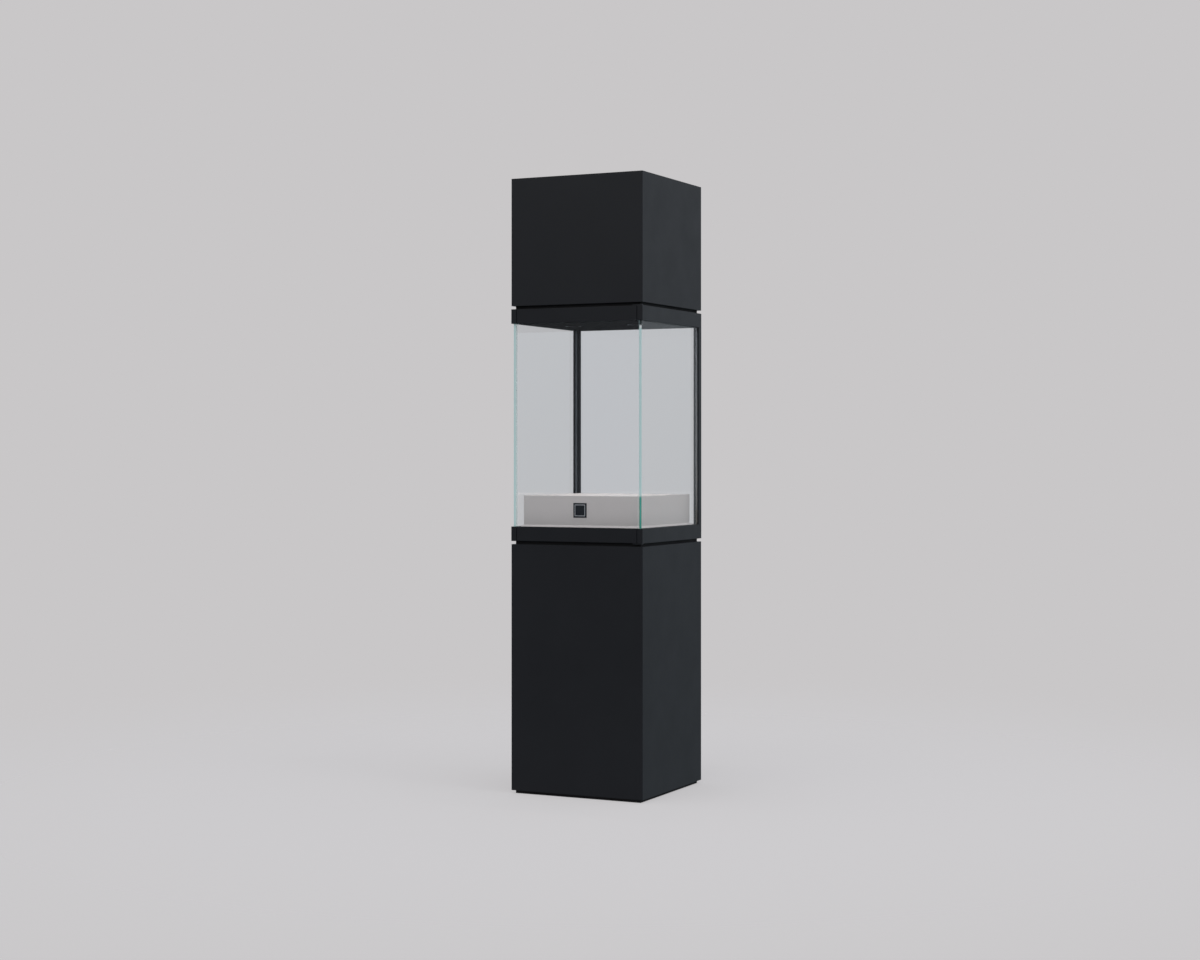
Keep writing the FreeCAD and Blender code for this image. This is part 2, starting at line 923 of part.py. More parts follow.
place(pane, 0, -gy_in, 0)
node("door_pane", pane)
node(
    "door_gaskets",
    group(
        strips(
            [(-fx + 0.5, fx - 0.5)],
            [(-gry_out, -gy_out), (-gy_in, -gry_in)],
        )
        + [
            box(-fx + 8, fpx - 10, fy1, dk_y0 - 0.5, z_low0 + 12, z_low1 - 6),
            box(-fx + 8, fpx - 10, fy1, dk_y0 - 0.5, z_up0 + 6, z_up1 - 12),
        ]
    ),
)
node(
    "door_edge_seals",
    group(
        [
            box(*span(s, edge_x, edge_x + 1.1), -gy_out + 2.5, -gy_in - 2.5, z_low1 + 2, z_up0 - 2)
            for s in SX
        ]
    ),
)
node(
    "door_bushes",
    group(
        [
            ring(fpx, fpy, dl0, 4, pin_radius + run_play, 16),
            ring(fpx, fpy, du1 - 16, 4, pin_radius + run_play, 16),
        ]
        + [ring(-fx, lock_y, z, 6, 4.4, 12, "x") for z in (lock_low, lock_up)]
    ),
)

# ------------------------------------------------------------------ door locks
node(
    "lock_housings",
    group([ring(-W + 0.2, lock_y, z, 9, 7.08, 9.8, "x") for z in (lock_low, lock_up)]),
)
for name, z in (("lower", lock_low), ("upper", lock_up)):
    node(
        name + "_lock_cylinder",
        cut(
            cyl(-W + 0.4, lock_y, z, 7, 9.2, "x"),
            [box(-W, -W + 2.4, lock_y - 0.7, lock_y + 0.7, z - 3.6, z + 3.6)],
        ),
    )
    node(
        name + "_lock_bolt",
        eased(
            cyl(-W + 10.4, lock_y, z, 4, 8.6, "x"),
            0.6,
            lambda a, c: abs(a.x - (-W.v + 19.0)) < 1e-3 and abs(a.x - c.x) < 1e-6,
        ),
    )

# --------------------------------------------------------------- display riser
rw = riser_width / 2
skirt = doc.addObject("Part::Wedge", "skirt")
for prop, value in (
    ("Xmin", -rw - skirt_out),
    ("Xmax", rw + skirt_out),
    ("Ymin", 0),
    ("Ymax", skirt_high),
    ("Zmin", -rw - skirt_out),
    ("Zmax", rw + skirt_out),
    ("X2min", -rw),
    ("X2max", rw),
    ("Z2min", -rw),
    ("Z2max", rw),
):
    setattr(skirt, prop, q(value).v)
    bind(skirt, prop, value)
place(skirt, 0, 0, z_low1, FreeCAD.Rotation(Vector(1, 0, 0), 90))
block = eased(box(-rw, rw, -rw, rw, z_low1, z_low1 + riser_height), 1.2)
rh = rw - riser_wall
node(
    "display_riser",
    cut(
        fuse([block, skirt]),
        [box(-rh, rh, -rh, rh, z_low1 - 1, z_low1 + riser_height - riser_wall)],
    ),
)
node(
    "riser_plate",
    eased(
        box(
            -label_size / 2,
            label_size / 2,
            -rw - 1.5,
            -rw,
            z_low1 + 33,
            z_low1 + 33 + label_size,
        ),
        0.5,
        lambda a, c: a.y < -rw.v - 1 and c.y < -rw.v - 1,
    ),
)

# --------------------------------------------------------- ceiling and spotlights
sp = spot_pitch / 2
spots = [(sx, -0.25) for sx in SX]
node(
    "ceiling_panel",
    cut(
        box(-dk_x, dk_x, dk_y0, dk_y1, z_up0, z_up0 + lining),
        [cyl(sx * sp, sy * sp, z_up0, 24, lining) for sx, sy in spots],
    ),
)
z_piv = z_up0 + 25
housings = []
for sx, sy in spots:
    x, y = sx * sp, sy * sp
    barrel = cut(
        fuse([cyl(x, y, z_up0 - 1.2, 28, 1.2), cyl(x, y, z_up0 - 1.2, 24, 30.2)]),
        [cyl(x, y, z_up0 - 2, 22.5, 32)],
    )
    pins = [
        cyl(x + 11.5, y, z_piv, 2, 11.8, "x"),
        cyl(x - 23.3, y, z_piv, 2, 11.8, "x"),
    ]
    housings.append(fuse([barrel] + pins))
node("spot_housings", group(housings))
for i, (sx, sy) in enumerate(spots):
    b = doc.addObject("PartDesign::Body", "Spot%d" % (i + 1))
    prof = sketch(
        b,
        "XZ_Plane",
        [
            [
                (0, -11), (14, -11), (14, -14), (16.4, -14), (17, -13.4), (17, 4),
                (14, 4), (14, 5.5), (17, 5.5), (17, 7), (14, 7), (14, 8.5), (17, 8.5),
                (17, 10), (14, 10), (14, 11.5), (17, 11.5), (17, 14), (0, 14),
            ]
        ],
    )
    rev = b.newObject("PartDesign::Revolution", "Turned")
    rev.Profile = prof
    rev.ReferenceAxis = (prof, ["V_Axis"])
    rev.Angle = 360
    doc.recompute()
    bore = sketch(b, "YZ_Plane", [["circle", 0, 0, 2.05]], "PivotBore")
    bore.AttachmentOffset = FreeCAD.Placement(Vector(0, 0, 18), FreeCAD.Rotation())
    feature(b, "Pocket", bore, 7, "BoreA")
    bore = sketch(b, "YZ_Plane", [["circle", 0, 0, 2.05]], "PivotBoreB")
    bore.AttachmentOffset = FreeCAD.Placement(Vector(0, 0, -11), FreeCAD.Rotation())
    feature(b, "Pocket", bore, 7, "BoreB")
    place(b, sx * sp, sy * sp, z_piv)
    node("spot_head_%d" % (i + 1), b)
    node("spot_lens_%d" % (i + 1), cyl(sx * sp, sy * sp, z_piv - 13.4, 13.9, 2.4))

# ------------------------------------------------------------------------ canopy
node(
    "canopy_base_plate",
    cut(
        box(-in_x, in_x, -in_y, in_y, z_can0, z_can0 + plate),
        bolt_holes(z_can0, plate, 3.3) + [cyl(wire_x, wire_y, z_can0, 2.2, plate)],
    ),
)
folded_shell("canopy_shell", z_can0, canopy_height)
z_c = z_can0 + plate
z_l = z_can1 - 3
cp = canopy_post
canopy_tubes = [
    tube(*span(s, in_x - cp, in_x), y0, y1, z_c, z_l, tube_wall, "z")
    for s in SX
    for y0, y1 in ((-in_y, -in_y + cp), (back_y - cp, back_y))
]
canopy_tubes[1] = lead_slot(canopy_tubes[1], -in_x + cp, lead_up - 4)
node("canopy_posts", group(canopy_tubes))
node("canopy_lid", box(-in_x, in_x, -in_y, in_y, z_l, z_can1))
ad0, ad1 = z_c + 3, z_l - 3.6
ac_z = z_can0 + 220
rear_door("canopy_door", ad0, ad1, ac_z, [40 + 12 * i for i in range(6)] + [320 + 12 * i for i in range(6)])
node("rear_pivots", group(rear_pins + rear_pivots(z_c, ad0, ad1, z_l, py - 8)))
cam_lock("canopy_cam", ac_z)
node(
    "led_driver",
    fuse(
        [
            eased(box(-80, 60, 125, 175, z_b, z_b + 38), 2),
            box(-95, 75, 140, 160, z_b, z_b + 3),
        ]
    ),
)
node(
    "terminal_block",
    cut(
        box(-120, -60, 60, 82, z_c, z_c + 24),
        [cyl(-114 + 9.6 * i, 71, z_c + 16, 2.6, 9) for i in range(6)],
    ),
)

# Cover strip over the lead on the inner face of the left rear post.
node(
    "lead_cover",
    cut(
        box(-W + rail, -W + rail + 7.6, post_y, post_y + 9, z_low1, z_up0),
        [box(-W + rail, -W + rail + 7, post_y + 0.6, post_y + 8.4, z_low1, z_up0)],
    ),
)

# Lamp lead: 3 mm low-voltage pair from the driver to the terminals in the canopy.
route = [
    Vector(-80, 150, (z_b + 22).v),
    Vector(-135, 150, (z_b + 22).v),
    Vector(-180, wire_y.v, lead_low.v),
    Vector(wire_x.v, wire_y.v, lead_low.v),
    Vector(wire_x.v, wire_y.v, lead_up.v),
    Vector(-185, wire_y.v, lead_up.v),
    Vector(-160, 120, (z_c + 14).v),
    Vector(-145, 71, (z_c + 10).v),
    Vector(-120, 71, (z_c + 10).v),
]
lead_r = 1.5
bends = [22, 22, 14, 14, 20, 30, 14]


def lead(points, radii):
    """Straight runs joined by tangent arcs, as one round solid."""
    edges, at, long = [], points[0], 0.0
    for i in range(1, len(points) - 1):
        p, a, b = points[i], points[i - 1] - points[i], points[i + 1] - points[i]
        a.normalize()
        b.normalize()
        half = a.getAngle(b) / 2
        back = radii[i - 1] / math.tan(half)
        p0, p1 = p + a * back, p + b * back
        m = a + b
        m.normalize()
        mid = p + m * (radii[i - 1] / math.sin(half) - radii[i - 1])
        edges.append(Part.LineSegment(at, p0).toShape())
        edges.append(Part.Arc(p0, mid, p1).toShape())
        at = p1
    edges.append(Part.LineSegment(at, points[-1]).toShape())
    wire = Part.Wire(edges)
    ahead = points[1] - points[0]
    disc = Part.Wire([Part.Circle(points[0], ahead, lead_r).toShape()])
    solid = wire.makePipeShell([disc], True, False)
    long = wire.Length
    wanted = math.pi * lead_r**2 * long
    if abs(solid.Volume - wanted) > 0.01 * wanted:
        raise RuntimeError("lead volume %.1f, wanted %.1f" % (solid.Volume, wanted))
    print("lead: %.0f mm long, bends %s mm" % (long, radii))
    return solid


o = doc.addObject("Part::Feature", "LampLead")
o.Shape = lead(route, bends)
o.Placement = FreeCAD.Placement()
node("lamp_lead", o)

# ------------------------------------------------------------- check and write
doc.recompute()
bad = []
for o in doc.Objects:
    if any(word in o.State for word in ("Invalid", "Error")):
        bad.append("%s (%s): %s" % (o.Name, o.Label, o.State))
for name, obj in nodes.items():
    if obj.Label != name:
        bad.append("label of %s is %s" % (name, obj.Label))
    if obj.Shape.isNull() or not obj.Shape.isValid() or not obj.Shape.Solids:
        bad.append("shape of %s" % name)
if bad:
    raise RuntimeError("not built: " + "; ".join(bad))
os.makedirs("parts", exist_ok=True)
for name, obj in nodes.items():
    obj.Shape.exportStep("parts/%s.step" % name)
print(len(nodes), "nodes written")
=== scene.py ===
import json
import math

import bmesh
import bpy
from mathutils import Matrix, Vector


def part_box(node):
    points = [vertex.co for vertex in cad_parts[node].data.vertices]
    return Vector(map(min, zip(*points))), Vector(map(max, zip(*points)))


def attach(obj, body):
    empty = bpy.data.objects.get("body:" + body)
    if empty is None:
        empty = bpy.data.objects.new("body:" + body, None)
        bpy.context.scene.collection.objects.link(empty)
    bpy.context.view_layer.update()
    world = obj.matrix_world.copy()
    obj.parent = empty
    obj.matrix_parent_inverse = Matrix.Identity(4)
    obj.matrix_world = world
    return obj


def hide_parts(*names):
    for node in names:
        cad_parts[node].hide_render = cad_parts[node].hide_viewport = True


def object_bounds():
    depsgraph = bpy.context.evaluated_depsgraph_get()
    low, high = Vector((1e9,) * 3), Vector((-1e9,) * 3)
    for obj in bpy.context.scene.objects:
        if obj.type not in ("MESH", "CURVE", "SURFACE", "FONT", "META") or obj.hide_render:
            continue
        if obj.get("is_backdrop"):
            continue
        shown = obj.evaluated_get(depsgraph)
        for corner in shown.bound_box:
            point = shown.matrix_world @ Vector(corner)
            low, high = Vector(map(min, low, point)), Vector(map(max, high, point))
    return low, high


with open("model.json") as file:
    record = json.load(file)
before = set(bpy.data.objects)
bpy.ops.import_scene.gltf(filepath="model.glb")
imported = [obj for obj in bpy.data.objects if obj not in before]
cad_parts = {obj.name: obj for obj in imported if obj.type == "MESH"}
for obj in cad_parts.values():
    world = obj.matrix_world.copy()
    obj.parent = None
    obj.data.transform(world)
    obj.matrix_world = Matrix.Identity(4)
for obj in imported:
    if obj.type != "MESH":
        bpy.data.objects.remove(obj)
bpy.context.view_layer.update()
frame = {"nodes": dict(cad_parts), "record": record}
nodes = frame["nodes"]
scene = bpy.context.scene

# ---------------------------------------------------------------- camera, stage
cam_data = bpy.data.cameras.new("camera")
cam_data.sensor_width = 36.0
cam_data.lens = 62.854
cam_data.shift_y = -0.02245
cam_data.clip_end = 200
cam = bpy.data.objects.new("camera", cam_data)
cam.location = (3.20266, -6.62674, 1.176)
cam.rotation_euler = (math.radians(90), 0, math.radians(26.007))
scene.collection.objects.link(cam)
scene.camera = cam

BACK = (0.584, 0.571, 0.578)  # the studio's pale grey


def node_tree(name):
    m = bpy.data.materials.new(name)
    m.use_nodes = True
    nt = m.node_tree
    nt.nodes.clear()
    return m, nt


def add(nt, kind, **values):
    n = nt.nodes.new(kind)
    for k, v in values.items():
        if k.startswith("_"):
            setattr(n, k[1:], v)
        else:
            n.inputs[k].default_value = v
    return n


def link(nt, a, a_out, b, b_in):
    nt.links.new(a.outputs[a_out], b.inputs[b_in])


def ramp(nt, stops):
    n = nt.nodes.new("ShaderNodeValToRGB")
    els = n.color_ramp.elements
    while len(els) > 1:
        els.remove(els[-1])
    for i, (at, col) in enumerate(stops):
        e = els[0] if i == 0 else els.new(at)
        e.position = at
        e.color = (*col, 1) if len(col) == 3 else col
    return n


def coords(nt):
    return nt.nodes.new("ShaderNodeTexCoord")


def noise(nt, tc, scale, detail=3.0, rough=0.5, stretch=None, seed=0.0):
    n = add(nt, "ShaderNodeTexNoise", Scale=scale, Detail=detail, Roughness=rough)
    mp = add(nt, "ShaderNodeMapping")
    mp.inputs["Location"].default_value = (seed, seed * 1.7, seed * 0.6)
    if stretch:
        mp.inputs["Scale"].default_value = stretch
    link(nt, tc, "Object", mp, "Vector")
    link(nt, mp, "Vector", n, "Vector")
    return n


def between(nt, src, out, lo, hi):
    """Maps a 0-1 value onto lo..hi."""
    n = add(nt, "ShaderNodeMapRange")
    n.inputs["From Min"].default_value = 0.3
    n.inputs["From Max"].default_value = 0.7
    n.inputs["To Min"].default_value = lo
    n.inputs["To Max"].default_value = hi
    nt.links.new(src.outputs[out], n.inputs["Value"])
    return n


def out(nt, shader, socket="BSDF"):
    o = nt.nodes.new("ShaderNodeOutputMaterial")
    nt.links.new(shader.outputs[socket], o.inputs["Surface"])


def mix_colour(nt, fac, fac_out, a, b):
    m = nt.nodes.new("ShaderNodeMix")
    m.data_type = "RGBA"
    m.inputs[6].default_value = (*a, 1)
    m.inputs[7].default_value = (*b, 1)
    nt.links.new(fac.outputs[fac_out], m.inputs[0])
    return m


def surface(
    name,
    dark,
    light,
    rough=(0.4, 0.5),
    metal=0.0,
    spec=0.5,
    grain=900.0,
    grain_height=0.00006,
    bump=0.25,
    mottling=6.0,
    stretch=None,
    coat=0.0,
    coat_rough=0.1,
    seed=0.0,
):
    """A painted, plated or moulded finish: slow colour drift, fine grain, uneven gloss."""
    m, nt = node_tree(name)
    tc = coords(nt)
    bsdf = add(nt, "ShaderNodeBsdfPrincipled")
    bsdf.inputs["Metallic"].default_value = metal
    bsdf.inputs["Specular IOR Level"].default_value = spec
    bsdf.inputs["Coat Weight"].default_value = coat
    bsdf.inputs["Coat Roughness"].default_value = coat_rough
    slow = noise(nt, tc, mottling, 4.0, 0.6, stretch, seed)
    fac = between(nt, slow, "Fac", 0.0, 1.0)
    col = mix_colour(nt, fac, "Result", dark, light)
    nt.links.new(col.outputs[2], bsdf.inputs["Base Color"])
    gloss = noise(nt, tc, mottling * 2.7, 5.0, 0.65, stretch, seed + 3.1)
    r = between(nt, gloss, "Fac", *rough)
    link(nt, r, "Result", bsdf, "Roughness")
    fine = noise(nt, tc, grain, 2.0, 0.5, stretch, seed + 5.3)
    b = add(nt, "ShaderNodeBump", Strength=bump, Distance=grain_height)
    link(nt, fine, "Fac", b, "Height")
    link(nt, b, "Normal", bsdf, "Normal")
    out(nt, bsdf)
    return m


# ---------------------------------------------------------------- materials
MAT = {}
MAT["charcoal_paint"] = surface(
    "charcoal_powder_coat", (0.0108, 0.0120, 0.0150), (0.0128, 0.0142, 0.0176),
    rough=(0.40, 0.47), spec=0.25, grain=1100, grain_height=0.00005, bump=0.35, mottling=3.0,
)
MAT["frame_paint"] = surface(
    "frame_satin_coat", (0.0104, 0.0116, 0.0145), (0.0124, 0.0138, 0.0170),
    rough=(0.34, 0.42), spec=0.25, grain=1400, grain_height=0.00004, bump=0.3, mottling=5.0, seed=2.0,
)
MAT["reveal_black"] = surface(
    "reveal_matt_black", (0.006, 0.006, 0.007), (0.010, 0.010, 0.011),
    rough=(0.6, 0.75), spec=0.2, grain=700, bump=0.3, seed=4.0,
)
MAT["zinc_steel"] = surface(
    "zinc_plate", (0.42, 0.43, 0.44), (0.60, 0.61, 0.60),
    rough=(0.28, 0.45), metal=1.0, grain=420, bump=0.15, mottling=28.0, seed=6.0,
)
MAT["frame_alu"] = surface(
    "mill_aluminium", (0.50, 0.50, 0.52), (0.62, 0.62, 0.64),
    rough=(0.26, 0.38), metal=1.0, grain=600, bump=0.2, mottling=12.0, stretch=(1, 0.06, 1), seed=7.0,
)
MAT["gasket_black"] = surface(
    "gasket_rubber", (0.010, 0.010, 0.011), (0.018, 0.018, 0.019),
    rough=(0.55, 0.7), spec=0.3, grain=1800, bump=0.3, seed=8.0,
)
MAT["riser_paint"] = surface(
    "riser_satin_paint", (0.666, 0.606, 0.578), (0.696, 0.636, 0.606),
    rough=(0.42, 0.52), spec=0.4, grain=1500, grain_height=0.00003, bump=0.25, mottling=4.0, seed=9.0,
)
MAT["deck_paint"] = surface(
    "deck_powder_coat", (0.50, 0.49, 0.48), (0.55, 0.54, 0.53),
    rough=(0.45, 0.55), spec=0.4, grain=1100, bump=0.3, seed=10.0,
)
MAT["ceiling_paint"] = surface(
    "ceiling_matt_coat", (0.009, 0.0096, 0.0108), (0.012, 0.0127, 0.0142),
    rough=(0.74, 0.84), spec=0.02, grain=500, grain_height=0.00003, bump=0.08, seed=11.0,
)
MAT["plate_dark"] = surface(
    "label_plate_dark", (0.0065, 0.0095, 0.0140), (0.0085, 0.0120, 0.0170),
    rough=(0.46, 0.54), spec=0.15, grain=1600, bump=0.15, seed=12.0,
)
MAT["lock_chrome"] = surface(
    "lock_nickel", (0.58, 0.58, 0.58), (0.68, 0.68, 0.67),
    rough=(0.14, 0.24), metal=1.0, grain=900, bump=0.08, mottling=60.0, seed=13.0,
)
MAT["bush_brass"] = surface(
    "turned_brass", (0.50, 0.34, 0.12), (0.62, 0.44, 0.17),
    rough=(0.22, 0.34), metal=1.0, grain=900, bump=0.15, mottling=60.0, stretch=(1, 1, 12), seed=14.0,
)
MAT["spot_black"] = surface(
    "spot_anodised_black", (0.012, 0.012, 0.013), (0.020, 0.020, 0.021),
    rough=(0.30, 0.42), spec=0.45, grain=1500, bump=0.2, mottling=30.0, seed=15.0,
)
MAT["foot_steel"] = surface(
    "foot_zinc_steel", (0.46, 0.46, 0.47), (0.60, 0.60, 0.60),
    rough=(0.24, 0.36), metal=1.0, grain=800, bump=0.15, mottling=40.0, stretch=(1, 1, 8), seed=16.0,
)
MAT["pull_black"] = surface(
    "pull_moulded_black", (0.012, 0.012, 0.013), (0.018, 0.018, 0.019),
    rough=(0.42, 0.52), spec=0.4, grain=1300, bump=0.45, seed=17.0,
)
MAT["driver_white"] = surface(
    "driver_moulded_white", (0.62, 0.62, 0.59), (0.70, 0.70, 0.67),
    rough=(0.38, 0.48), spec=0.45, grain=1300, bump=0.3, seed=18.0,
)
MAT["inlet_black"] = surface(
    "inlet_moulded_black", (0.012, 0.012, 0.013), (0.018, 0.018, 0.019),
    rough=(0.34, 0.44), spec=0.5, grain=1300, bump=0.25, seed=19.0,
)
MAT["switch_red"] = surface(
    "rocker_moulded_red", (0.36, 0.022, 0.016), (0.44, 0.030, 0.022),
    rough=(0.22, 0.3), spec=0.5, grain=1300, bump=0.15, seed=20.0,
)
MAT["lead_grey"] = surface(
    "lead_pvc_grey", (0.060, 0.060, 0.064), (0.080, 0.080, 0.084),
    rough=(0.42, 0.52), spec=0.4, grain=1500, bump=0.25, mottling=20.0, seed=21.0,
)


def cassette_material():
    """White skin with rows of small punched holes, drawn as near-black dots of painted shade with a bump; nothing is
    cut.
    """
    m, nt = node_tree("cassette_perforated")
    tc = coords(nt)
    bsdf = add(nt, "ShaderNodeBsdfPrincipled", Roughness=0.55)
    mp = add(nt, "ShaderNodeMapping")
    mp.inputs["Scale"].default_value = (110, 110, 110)
    link(nt, tc, "Object", mp, "Vector")
    v = add(nt, "ShaderNodeTexVoronoi", Scale=1.0, Randomness=0.0)
    link(nt, mp, "Vector", v, "Vector")
    # near-black in each hole: painted shade where the inside of the hole would be
    r = ramp(nt, [(0.0, (0.03, 0.03, 0.03)), (0.24, (0.03, 0.03, 0.03)), (0.30, (0.66, 0.67, 0.68)), (1.0, (0.70, 0.71, 0.72))])
    link(nt, v, "Distance", r, "Fac")
    link(nt, r, "Color", bsdf, "Base Color")
    b = add(nt, "ShaderNodeBump", Strength=0.6, Distance=0.0006)
    link(nt, v, "Distance", b, "Height")
    link(nt, b, "Normal", bsdf, "Normal")
    out(nt, bsdf)
    return m


MAT["cassette_white"] = cassette_material()


def clear_pane(name, tint, gloss_tint=(1, 1, 1), rough=0.015, gain=1.0):
    """Clear flat glass: passes light with a faint cool tint and mirrors more at a grazing angle."""
    m, nt = node_tree(name)
    tc = coords(nt)
    see = add(nt, "ShaderNodeBsdfTransparent", Color=(*tint, 1))
    shine = add(nt, "ShaderNodeBsdfGlossy", Color=(*gloss_tint, 1))
    smear = noise(nt, tc, 5.0, 5.0, 0.6, seed=1.0)
    r = between(nt, smear, "Fac", rough, rough + 0.02)
    link(nt, r, "Result", shine, "Roughness")
    facing = add(nt, "ShaderNodeLayerWeight", Blend=0.5)
    power = nt.nodes.new("ShaderNodeMath")
    power.operation = "POWER"
    power.inputs[1].default_value = 5.0
    link(nt, facing, "Facing", power, 0)
    fres = nt.nodes.new("ShaderNodeMath")
    fres.operation = "MULTIPLY_ADD"
    fres.inputs[1].default_value = 0.96 * gain
    fres.inputs[2].default_value = 0.04 * gain
    link(nt, power, 0, fres, 0)
    mix = nt.nodes.new("ShaderNodeMixShader")
    nt.links.new(fres.outputs[0], mix.inputs[0])
    link(nt, see, "BSDF", mix, 1)
    link(nt, shine, "BSDF", mix, 2)
    out(nt, mix, "Shader")
    return m


def glass_edge(name, alpha, stops, left=None, base_rough=0.16, across=None):
    """Ground and polished edge of soda glass, coloured with painted light: green deep in the pane, paler where light
    falls in, the colour set by height from the given stops.

    across: how bright the shaded half of an 8 mm edge is beside its lit half, as painted shade."""
    m, nt = node_tree(name)
    tc = coords(nt)
    sep = nt.nodes.new("ShaderNodeSeparateXYZ")
    link(nt, tc, "Object", sep, "Vector")
    # painted light by height: the edge's colour runs through the given stops from z 0.91 to z 1.635
    z = add(nt, "ShaderNodeMapRange")
    z.inputs["From Min"].default_value = 0.91
    z.inputs["From Max"].default_value = 1.635
    link(nt, sep, "Z", z, "Value")
    r = ramp(nt, stops)
    link(nt, z, "Result", r, "Fac")
    colour = (r, 0)
    # the left-hand pane's edges take their own colour, a painted difference in light between the two sides
    if left:
        side = nt.nodes.new("ShaderNodeMath")
        side.operation = "LESS_THAN"
        side.inputs[1].default_value = 0.0
        link(nt, sep, "X", side, 0)
        pick = nt.nodes.new("ShaderNodeMix")
        pick.data_type = "RGBA"
        pick.inputs[7].default_value = (*left, 1)
        link(nt, side, 0, pick, 0)
        link(nt, r, "Color", pick, 6)
        colour = (pick, 2)
    # painted shade across the edge: the part of each 8 mm edge nearer one face is darkened beside the lit part
    if across:
        shifted = nt.nodes.new("ShaderNodeMath")
        shifted.inputs[1].default_value = 0.250
        link(nt, sep, "X", shifted, 0)
        within = nt.nodes.new("ShaderNodeMath")
        within.operation = "MODULO"
        within.inputs[1].default_value = 0.492
        link(nt, shifted, 0, within, 0)
        lit = add(nt, "ShaderNodeMapRange")
        lit.interpolation_type = "SMOOTHSTEP"
        lit.inputs["From Min"].default_value = 0.0030
        lit.inputs["From Max"].default_value = 0.0050
        lit.inputs["To Min"].default_value = across
        lit.inputs["To Max"].default_value = 1.0
        link(nt, within, 0, lit, "Value")
        shade = nt.nodes.new("ShaderNodeMix")
        shade.data_type = "RGBA"
        shade.blend_type = "MULTIPLY"
        shade.inputs[0].default_value = 1.0
        nt.links.new(colour[0].outputs[colour[1]], shade.inputs[6])
        link(nt, lit, "Result", shade, 7)
        colour = (shade, 2)
    bsdf = add(nt, "ShaderNodeBsdfPrincipled")
    bsdf.inputs["Specular IOR Level"].default_value = 0.5
    bsdf.inputs["Alpha"].default_value = alpha
    streak = noise(nt, tc, 90.0, 3.0, 0.6, stretch=(1, 1, 0.03), seed=2.2)
    rough = between(nt, streak, "Fac", base_rough, base_rough + 0.12)
    link(nt, rough, "Result", bsdf, "Roughness")
    b = add(nt, "ShaderNodeBump", Strength=0.15, Distance=0.0002)
    link(nt, streak, "Fac", b, "Height")
    link(nt, b, "Normal", bsdf, "Normal")
    nt.links.new(colour[0].outputs[colour[1]], bsdf.inputs["Base Color"])
    out(nt, bsdf)
    return m


MAT["clear_glass"] = clear_pane("pane_clear", (0.978, 0.990, 0.999), gain=0.5)
SIDE_GLASS = clear_pane("pane_clear_side", (0.996, 1.0, 1.0), gain=0.95)
MAT["spot_lens"] = clear_pane("lens_clear", (0.90, 0.93, 0.94), rough=0.05, gain=1.6)
MAT["seal_clear"] = clear_pane("seal_silicone", (0.86, 0.93, 0.92), rough=0.25)
# Glass edge colour with painted light: green low down and pale higher up, with a band of painted highlight and a
# band of painted shade near the top.
EDGE = glass_edge(
    "glass_edge_with_painted_light", 0.84,
    [
        (0.0, (0.004, 0.310, 0.225)),
        (0.160, (0.006, 0.350, 0.275)),
        (0.170, (0.52, 0.79, 0.78)),
        (0.942, (0.56, 0.82, 0.81)),
        # painted highlight: a near-white band where a lamp glints in the edge
        (0.949, (0.97, 1.0, 1.0)),
        (0.958, (0.97, 1.0, 1.0)),
        # painted shade: near-black at the top, where the dark ceiling stands behind the edge
        (0.962, (0.008, 0.020, 0.020)),
        (1.0, (0.008, 0.020, 0.020)),
    ],
    # the left-hand pane's edges take one pale colour all over, a painted difference in light from the right-hand
    # ones
    left=(0.53, 0.80, 0.79),
)
# Door pane edges with painted light: green below about the riser's top and pale above; the left-hand edge pale all
# over.
EDGE_DOOR = glass_edge(
    "glass_door_edge_painted_light", 0.35, [(0.0, (0.010, 0.30, 0.22)), (0.160, (0.012, 0.33, 0.26)), (0.170, (0.60, 0.84, 0.83)), (1.0, (0.64, 0.86, 0.85))],
    left=(0.64, 0.86, 0.85),
)
# Edges bedded against the rear posts, coloured with painted light: dark grey low down, pale towards the top, dark on
# the left-hand pane, and painted shade across part of each edge's thickness.
EDGE_BEDDED = glass_edge(
    "glass_bedded_edge_painted_light", 0.85, [(0.0, (0.34, 0.335, 0.32)), (0.20, (0.44, 0.45, 0.46)), (1.0, (0.80, 0.83, 0.87))],
    left=(0.21, 0.225, 0.25), base_rough=0.3, across=0.30,
)

slot_of = {s["node"]: s["material_slot"] for s in frame["record"]["subparts"]}
for name, obj in nodes.items():
    want = MAT[slot_of[name]]
    if not obj.data.materials:
        obj.data.materials.append(want)
    for i in range(len(obj.material_slots)):
        obj.material_slots[i].link = "DATA"
        obj.material_slots[i].material = want


# ---------------------------------------------------------------- mesh helpers
def new_object(name, bm, mats, body):
    me = bpy.data.meshes.new(name)
    bm.normal_update()
    bm.to_mesh(me)
    bm.free()
    for m in mats:
        me.materials.append(m)
    o = bpy.data.objects.new(name, me)
    scene.collection.objects.link(o)
    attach(o, body)
    return o


def bevel_all(bm, width, segments=2):
    bmesh.ops.bevel(
        bm, geom=list(bm.edges), offset=width, segments=segments, profile=0.5, affect="EDGES", clamp_overlap=True
    )


def add_box(bm, lo, hi):
    lo, hi = Vector(lo), Vector(hi)
    r = bmesh.ops.create_cube(bm, size=1.0)
    for v in r["verts"]:
        v.co = Vector([lo[i] + (v.co[i] + 0.5) * (hi[i] - lo[i]) for i in range(3)])
    return r["verts"]


def extrude_outline(bm, outline, y0, y1):
    """A flat polygon (x, z points) given thickness along Y."""
    front = [bm.verts.new((x, y0, z)) for x, z in outline]
    back = [bm.verts.new((x, y1, z)) for x, z in outline]
    bm.faces.new(front)
    bm.faces.new(list(reversed(back)))
    n = len(outline)
    for i in range(n):
        j = (i + 1) % n
        bm.faces.new((front[j], front[i], back[i], back[j]))
    bmesh.ops.recalc_face_normals(bm, faces=bm.faces)


